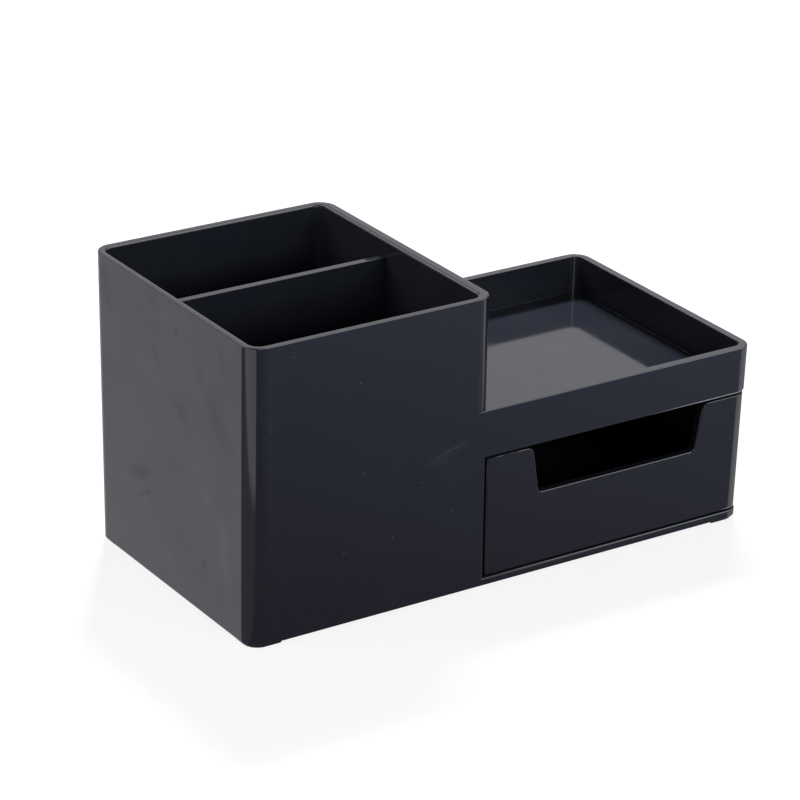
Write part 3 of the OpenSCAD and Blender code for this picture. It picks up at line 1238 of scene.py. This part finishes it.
@dataclass(frozen=True)
class MouldedPlastic:
    """Polished moulded plastic with faint clouds, a little dust and marks of use.

    The base colour runs from colour to hazed with the clouds, and haze lightens it. A speck is where the
    nearest point of a cell pattern is closer than its radius. Smudges, and the clouds a little, mix in a
    dull surface.
    """

    name: str
    colour: Colour
    hazed: Colour
    marks: tuple[Mark, ...] = ()
    ior: float = 1.5
    roughness: float = 0.07
    cloud_roughness: float = 0.03
    speck_roughness: float = 0.4
    cloud_size: float = 16 * MM
    cloud_range: Pair = (0.35, 0.7)
    wisp_size: float = 4 * MM
    wisp_range: Pair = (0.4, 0.75)
    wisp_share: float = 0.25
    wave_size: float = 34 * MM
    wave_height: float = 0.03 * MM
    speck_cell: float = 5.5 * MM
    speck_r: float = 0.2 * MM
    speck_core: float = 0.4
    speck_colour: Colour = (0.12, 0.12, 0.13)
    haze_colour: Colour = (0.045, 0.048, 0.058)
    dulling: float = 0.34  # the dull surface's share in a full smudge
    smear: float = 0.3  # how strongly the clouds count as smudges
    warp_size: float = 9 * MM
    warp_reach: float = 5 * MM

    def build(self, body: BodySizes) -> bpy.types.Material:
        """Makes the material.

        Args:
            body: sizes that give the places of the faces that its marks lie on.

        Returns:
            The material.
        """
        material = bpy.data.materials.new(self.name)
        graph = Graph(material)
        where = graph.place()
        clouds = self._clouds(graph, where)
        specks = self._specks(graph, where)
        films = self._films(graph, where, body)
        dots = films[Kind.SPECK] + specks
        colour = graph.mix(clouds, rgba(self.colour), rgba(self.hazed))
        colour = graph.mix(films[Kind.HAZE], colour, rgba(self.haze_colour))
        colour = graph.mix(dots, colour, rgba(self.speck_colour))
        waves = graph.noise(where, self.wave_size, detail=1.0).out()
        shiny = graph.node("ShaderNodeBsdfPrincipled", {}, {
            "Base Color": colour, "IOR": self.ior, "Normal": graph.bump(waves, self.wave_height),
            "Roughness": self.roughness + self.cloud_roughness * clouds + self.speck_roughness * dots})
        dull = graph.shader("BsdfDiffuse", colour)
        smears = films[Kind.SMUDGE] + clouds * self.smear
        graph.end(graph.blend(smears * self.dulling, shiny.out(), dull))
        return material

    def _films(self, graph: Graph, where: Value, body: BodySizes) -> dict[Kind, Value | float]:
        """The strength of the marks of each kind. A noise warps the places of the left face's marks.

        Args:
            graph: the material's node tree.
            where: the place, in object coordinates.
            body: sizes that give the faces' places.

        Returns:
            The sum of the marks' strengths for each kind.
        """
        warped = graph.warp(where, self.warp_size, self.warp_reach)
        films: dict[Kind, Value | float] = {kind: 0.0 for kind in Kind}
        for mark in self.marks:
            spot = warped if mark.face is Face.LEFT else where
            films[mark.kind] = mark.mask(graph, spot, body) + films[mark.kind]
        return films

    def _clouds(self, graph: Graph, where: Value) -> Value:
        """Slow clouds with a few finer wisps.

        Args:
            graph: the material's node tree.
            where: the place, in object coordinates.

        Returns:
            Their strength, from 0 to 1.
        """
        broad = graph.noise(where, self.cloud_size, detail=3.0).out().step(*self.cloud_range)
        fine = graph.noise(where, self.wisp_size, detail=4.0).out().step(*self.wisp_range)
        return broad * (1 - self.wisp_share) + fine * self.wisp_share

    def _specks(self, graph: Graph, where: Value) -> Value:
        """Dust: small dots, each with its own strength.

        Args:
            graph: the material's node tree.
            where: the place, in object coordinates.

        Returns:
            Their strength, from 0 to 1. It is full up to speck_core of a dot's radius.
        """
        cells = graph.node("ShaderNodeTexVoronoi", {}, {"Vector": where, "Scale": 1 / self.speck_cell})
        share = self.speck_r / self.speck_cell
        strength = graph.node("ShaderNodeSeparateColor", {}, {0: cells.out("Color")}).out()
        return cells.out("Distance").step(share, share * self.speck_core) * strength


@dataclass(frozen=True)
class SoftPad:
    """A dull near-black pad with a fine grain, whose high spots are lighter and rougher."""

    name: str
    colour: Colour
    lightening: float = 2.0
    roughness: float = 0.6
    grain_roughness: float = 0.2
    grain_size: float = 0.4 * MM
    grain_height: float = 0.05 * MM
    grain_strength: float = 0.4

    def build(self) -> bpy.types.Material:
        """Makes the material.

        Returns:
            The material.
        """
        material = bpy.data.materials.new(self.name)
        graph = Graph(material)
        grain = graph.noise(graph.place(), self.grain_size).out()
        lighter = tuple(self.lightening * part for part in self.colour)
        shader = graph.node("ShaderNodeBsdfPrincipled", {}, {
            "Base Color": graph.mix(grain, rgba(self.colour), rgba(lighter)),
            "Roughness": self.roughness + self.grain_roughness * grain,
            "Normal": graph.bump(grain, self.grain_height, self.grain_strength)})
        graph.end(shader.out())
        return material


# --------------------------------------------------------------------------- camera and studio


@dataclass(frozen=True)
class View:
    """The camera: a long lens that looks down at the front from the left.

    It stands at distance from the point aim_z above the origin, in the direction of azimuth and
    elevation, moved by right and up in its own picture plane and turned by roll, in degrees.
    """

    azimuth: float = -33.8108
    elevation: float = 23.5702
    roll: float = 1.4438
    distance: float = 1025.7337 * MM
    right: float = -7.6555 * MM
    up: float = -4.0089 * MM
    aim_z: float = 45 * MM
    focal_share: float = 3532.1934 / 800  # the focal length as a share of the picture's width
    sensor: float = 36.0

    def build(self) -> None:
        """Makes the camera and gives it to the scene."""
        az, el, roll = (math.radians(a) for a in (self.azimuth, self.elevation, self.roll))
        back = np.array([math.sin(az) * math.cos(el), -math.cos(az) * math.cos(el), math.sin(el)])
        side = np.cross(-back, (0, 0, 1))
        side /= np.linalg.norm(side)
        over = np.cross(side, -back)
        turned_side = math.cos(roll) * side + math.sin(roll) * over
        turned_over = math.cos(roll) * over - math.sin(roll) * side
        place = (np.array([0, 0, self.aim_z]) + self.right * turned_side + self.up * turned_over
                 + self.distance * back)
        data = bpy.data.cameras.new("camera")
        data.sensor_width = self.sensor
        data.lens = self.focal_share * self.sensor
        camera = bpy.data.objects.new("camera", data)
        axes = np.eye(4)
        axes[:3] = np.stack([turned_side, turned_over, back, place], axis=1)
        camera.matrix_world = Matrix(axes.tolist())
        bpy.context.scene.collection.objects.link(camera)
        bpy.context.scene.camera = camera


@dataclass(frozen=True)
class SoftLight:
    """A rectangular softbox that faces the object. Reflections show the backdrop instead of it.

    Its azimuth runs from +Y towards +X and its elevation from level, both in degrees.
    """

    name: str
    azimuth: float
    elevation: float
    width: float
    height: float
    power: float
    colour: Colour
    away: float = 1.0  # from the point aim_z above the origin
    aim_z: float = 50 * MM

    def build(self) -> None:
        """Makes the light."""
        light = bpy.data.lights.new(self.name, "AREA")
        light.shape = "RECTANGLE"
        light.size = self.width
        light.size_y = self.height
        light.energy = self.power
        light.color = self.colour
        turn, rise = math.radians(self.azimuth), math.radians(self.elevation)
        away = Vector((math.sin(turn) * math.cos(rise), math.cos(turn) * math.cos(rise), math.sin(rise)))
        item = bpy.data.objects.new(self.name, light)
        item.location = away * self.away + Vector((0, 0, self.aim_z))
        item.rotation_euler = away.to_track_quat("Z", "Y").to_euler()
        item.visible_camera = item.visible_glossy = False
        bpy.context.scene.collection.objects.link(item)


@dataclass(frozen=True)
class FloorReflection:
    """What a glossy surface sees in the floor, as a function of the place on the floor.

    Its colours are painted light and shade of the floor, which only glossy rays see, so they are painted
    reflections. Seen from the object's front left corner, these sectors follow each other clockwise: the
    front, with a painted shadow of the object that brightens slowly away from the object and to the
    right, the left with a slanting edge beyond which the floor is painted bright, a darker wedge at the
    back left, a pale sector behind, and the front again. Each pair named turn holds the directions, in
    degrees from +Y towards +X, between which the next sector takes over.
    Behind a line along the object's front the floor mirrors the backdrop. The line is
    y = -bend_y - b * (bend_slope - bend_curve * b), where b is how far x lies beyond bend_x.
    """

    corner_x: float = -0.0857
    corner_y: float = -0.0384
    patch_turn: Pair = (-140.0, -137.0)
    wedge_turn: Pair = (-61.0, -60.0)
    pale_turn: Pair = (-36.7, -36.0)
    right_turn: Pair = (80.0, 90.0)
    # painted light and shade of the floor, seen only in reflections: a pale sector, a darker wedge, a
    # painted bright patch beyond the slanting edge and darker floor before it
    pale_colour: Colour = (0.84, 0.825, 0.905)
    wedge_colour: Colour = (0.21, 0.21, 0.245)
    patch_colour: Colour = (1.28, 1.30, 1.34)
    inner_colour: Colour = (0.33, 0.315, 0.37)
    # painted shadow of the object on the floor in front, seen in reflections: darkest at near_colour,
    # lighter towards far_colour
    near_colour: Colour = (0.16, 0.125, 0.18)
    far_colour: Colour = (0.40, 0.46, 0.63)
    front_y: float = -0.0435  # the object's front, where x = 0 has reach_start of far_colour
    reach_start: float = 0.15
    reach_right: float = 3.11  # its growth for each metre to the right
    reach_front: float = 2.37  # and for each metre away from the front
    edge_x: float = -0.221  # a point of the bright paper's edge
    edge_y: float = -0.0212
    edge_slope: float = -1.16
    edge_softness: float = 0.02
    bend_x: float = 0.0800
    bend_y: float = 0.0430
    bend_slope: float = 0.95
    bend_curve: float = 1.2
    left_x: float = 0.0852  # how far the mirror reaches to the left
    line_softness: float = 0.0005

    def build(self, graph: "Graph") -> tuple[Value, Value]:
        """Adds the nodes.

        Args:
            graph: the floor's node tree.

        Returns:
            The colour of the painted part, and how much of it is painted, 0 where the floor is a mirror.
        """
        x, y, _ = graph.axes(graph.place())
        turn = (x - self.corner_x).bearing(y - self.corner_y)
        reach = self.reach_start + self.reach_right * x + self.reach_front * (self.front_y - y)
        # painted shadow of the object, lighter away from its front and to the right
        ahead = graph.mix(reach.rise(0.0, 1.0), rgba(self.near_colour), rgba(self.far_colour))
        beyond = (y - self.edge_y) - self.edge_slope * (x - self.edge_x)
        # painted bright patch of light beyond the slanting edge, painted shade before it
        patch = graph.mix(beyond.step(self.edge_softness, -self.edge_softness),
                          rgba(self.inner_colour), rgba(self.patch_colour))
        colour = ahead
        for limits, sector in ((self.patch_turn, patch), (self.wedge_turn, rgba(self.wedge_colour)),
                               (self.pale_turn, rgba(self.pale_colour)), (self.right_turn, ahead)):
            colour = graph.mix(turn.step(*limits), colour, sector)
        beside = (x - self.bend_x).at_least(0.0)
        line = y + self.bend_y + beside * (self.bend_slope - self.bend_curve * beside)
        soft = self.line_softness
        mirrored = line.step(-soft, soft) * (x + self.left_x).step(-soft, soft)
        return colour, 1 - mirrored


@dataclass(frozen=True)
class Glow:
    """A brighter area of the backdrop, the product of one smooth step for each of its edges.

    An edge holds where the area begins and where it is full. Level edges are given by the direction's
    z, upright ones by its azimuth in degrees, from +Y towards +X.
    """

    level: float
    rises: tuple[Pair, ...]
    turns: tuple[Pair, ...]

    def mask(self, rise: Value, turn: Value) -> Value:
        """How much of the area covers a direction, from 0 to 1.

        Args:
            rise: the direction's z.
            turn: its azimuth.

        Returns:
            1 inside the area and 0 outside.
        """
        steps = [rise.step(*edge) for edge in self.rises] + [turn.step(*edge) for edge in self.turns]
        return math.prod(steps[1:], start=steps[0])


@dataclass(frozen=True)
class Studio:
    """A white studio: floor, backdrop all round and softboxes.

    For reflections, the backdrop's brightness is a function of the azimuth, up to the height of
    upper_rise. A bright strip stands at the back left of it, and a narrow window in front. Above it the
    backdrop is plain, with brighter areas at the left and over the right.
    """

    floor_half: float = 3.0
    floor_glow: float = 0.86  # the floor's own light, for the camera
    floor_colour: float = 0.20  # its colour for the camera, which keeps the shadow
    floor_bounce: float = 0.15  # its colour for the rays that light the object
    mirror_roughness: float = 0.02
    ambient_low: float = 0.45  # the lighting sky near the horizon
    ambient_high: float = 0.12  # and overhead
    ambient_rise: Pair = (0.5, 0.1)
    backdrop: tuple[Pair, ...] = (
        (-180, 0.08), (-60, 0.08), (-40, 0.12), (-14, 0.28), (-6, 0.62), (26, 0.72), (31, 0.83), (37, 0.9),
        (52, 0.9), (60, 0.4), (75, 0.45), (90, 0.75), (110, 1.1), (130, 1.24), (139, 1.24), (142, 0.38),
        (150, 0.33), (180, 0.08))
    ramp_top: float = 2.0  # the level that a ramp's full white stands for
    tint: Colour = (1.0, 0.955, 0.975)
    tint_right: Colour = (0.97, 0.985, 1.03)
    tint_turn: Pair = (60.0, 90.0)
    upper_rise: Pair = (0.46, 0.5)
    upper_level: float = 0.4
    upper_right: float = 0.8  # added to upper_level on the right
    upper_turn: Pair = (10.0, 35.0)
    over: Glow = Glow(2.6, ((0.46, 0.5),), ((75, 110), (156, 148)))
    left_edge: Glow = Glow(4.0, ((0.46, 0.5),), ((-55, -48), (-8, -18)))
    strip: Glow = Glow(1.3, ((0.02, 0.12), (0.33, 0.28)), ((-55, -45), (-8, -22)))
    window: Glow = Glow(4.5, ((0.22, 0.3), (0.6, 0.5)), ((-176, -160), (-142, -158)))
    window_white: float = 0.1  # the share of the window's mask from which it has no tint
    lights: tuple[SoftLight, ...] = (
        SoftLight("key_light", 26, 57.5, 0.1, 0.1, 7.5, (0.95, 0.975, 1.0)),
        SoftLight("side_light", 38, 54, 0.3, 0.1, 9.5, (0.95, 0.975, 1.0)),
        SoftLight("left_light", -80, 18, 0.5, 0.25, 3.0, (1.0, 0.98, 1.0)),
        SoftLight("front_light", 172, 20, 0.5, 0.25, 3.5, (0.92, 0.95, 1.0)))

    def build(self) -> None:
        """Makes the floor, the world and the lights."""
        self._floor()
        self._world()
        for light in self.lights:
            light.build()

    def _floor(self) -> None:
        """A wide level floor under the feet, which differs for camera, glossy and other rays."""
        corners = self.floor_half * np.array([(-1, -1, 0), (1, -1, 0), (1, 1, 0), (-1, 1, 0)])
        mesh = bpy.data.meshes.new("floor")
        mesh.from_pydata(corners.tolist(), [], [(0, 1, 2, 3)])
        item = bpy.data.objects.new("floor", mesh)
        bpy.context.scene.collection.objects.link(item)
        material = bpy.data.materials.new("pale_floor")
        graph = Graph(material)
        ray = graph.node("ShaderNodeLightPath")
        seen = graph.node("ShaderNodeAddShader", {}, {
            0: graph.shader("Emission", rgba(WHITE), Strength=self.floor_glow),
            1: graph.shader("BsdfDiffuse", rgba((self.floor_colour,) * 3))}).out()
        lit = graph.shader("BsdfDiffuse", rgba((self.floor_bounce,) * 3))
        # painted light and shade of the floor, which only reflections show
        colour, painted = FloorReflection().build(graph)
        mirror = graph.shader("BsdfGlossy", rgba(WHITE), Roughness=self.mirror_roughness)
        shine = graph.blend(painted, mirror, graph.shader("Emission", colour))
        plain = graph.blend(ray.out("Is Camera Ray"), lit, seen)
        graph.end(graph.blend(ray.out("Is Glossy Ray"), plain, shine))
        mesh.materials.append(material)

    def _backdrop(self, graph: Graph, rise: Value, turn: Value, window: Value) -> Value:
        """The backdrop's brightness in reflections.

        Args:
            graph: the world's node tree.
            rise: the direction's z.
            turn: its azimuth.
            window: the window's mask.

        Returns:
            The brightness in that direction.
        """
        # An azimuth of half a turn to the left is the ramp's start, and one to the right its end.
        stops = [(azimuth / FULL_TURN + 0.5, level / self.ramp_top) for azimuth, level in self.backdrop]
        around = graph.node("ShaderNodeValToRGB", {"stops": stops}, {"Fac": turn / FULL_TURN + 0.5}).out()
        high = rise.step(*self.upper_rise)
        over, left_edge, strip = (glow.mask(rise, turn) for glow in (self.over, self.left_edge, self.strip))
        upper = (over * self.over.level + left_edge * self.left_edge.level
                 + high * (self.upper_level + self.upper_right * turn.step(*self.upper_turn)))
        lower = around * self.ramp_top * (1 - strip) + strip * self.strip.level
        return lower * (1 - high) + upper + window * self.window.level

    def _world(self) -> None:
        """White for the camera, a soft sky for lighting and the backdrop for reflections."""
        world = bpy.data.worlds.new("studio")
        graph = Graph(world)
        ray = graph.node("ShaderNodeLightPath")
        x, y, rise = graph.axes(graph.node("ShaderNodeTexCoord").out("Generated"))
        turn = x.bearing(y)
        window = self.window.mask(rise, turn)
        mirrored = self._backdrop(graph, rise, turn, window)
        lit = self.ambient_high + (self.ambient_low - self.ambient_high) * rise.step(*self.ambient_rise)
        glossy = ray.out("Is Glossy Ray")
        tint = graph.mix(turn.step(*self.tint_turn), rgba(self.tint), rgba(self.tint_right))
        tinted = graph.mix(glossy * (1 - window.step(0.0, self.window_white)), rgba(WHITE), tint)
        camera = ray.out("Is Camera Ray")
        level = camera + (1 - camera) * (glossy * mirrored + (1 - glossy) * lit)
        graph.end(graph.shader("Background", tinted, Strength=level))
        bpy.context.scene.world = world


# --------------------------------------------------------------------------- the whole object


SHELL_FINISH = MouldedPlastic("shell", (0.0170, 0.0195, 0.0270), (0.0205, 0.0230, 0.0305), SHELL_MARKS)
DRAWER_FINISH = MouldedPlastic("drawer", (0.0165, 0.0175, 0.0235), (0.0200, 0.0210, 0.0270))
FOOT_FINISH = SoftPad("foot", (0.008, 0.008, 0.009))


def main() -> None:
    """Builds the pieces in order, dresses them and places them on their bodies."""
    logging.basicConfig(level=logging.INFO, format="%(message)s")
    bpy.context.scene.view_settings.view_transform = "Standard"
    View().build()
    Studio().build()
    sizes = BodySizes.from_frame()
    shell = Dress(Slot.SHELL, SHELL_FINISH.build(sizes))
    front = Dress(Slot.DRAWER, DRAWER_FINISH.build(sizes))
    pad = Dress(Slot.FOOT, FOOT_FINISH.build())
    housing = Housing(sizes, shell)
    housing.build()
    SnapBumps(sizes, shell).build()
    Divider(sizes, shell).build()
    drawer = Drawer(housing, DrawerSizes(), NotchSizes(), front)
    drawer.build_panel()
    drawer.build_box()
    for place in ("front_left", "front_right", "back_left", "back_right"):
        FootPad(f"foot_{place}", pad).build()


if __name__ == "__main__":
    main()
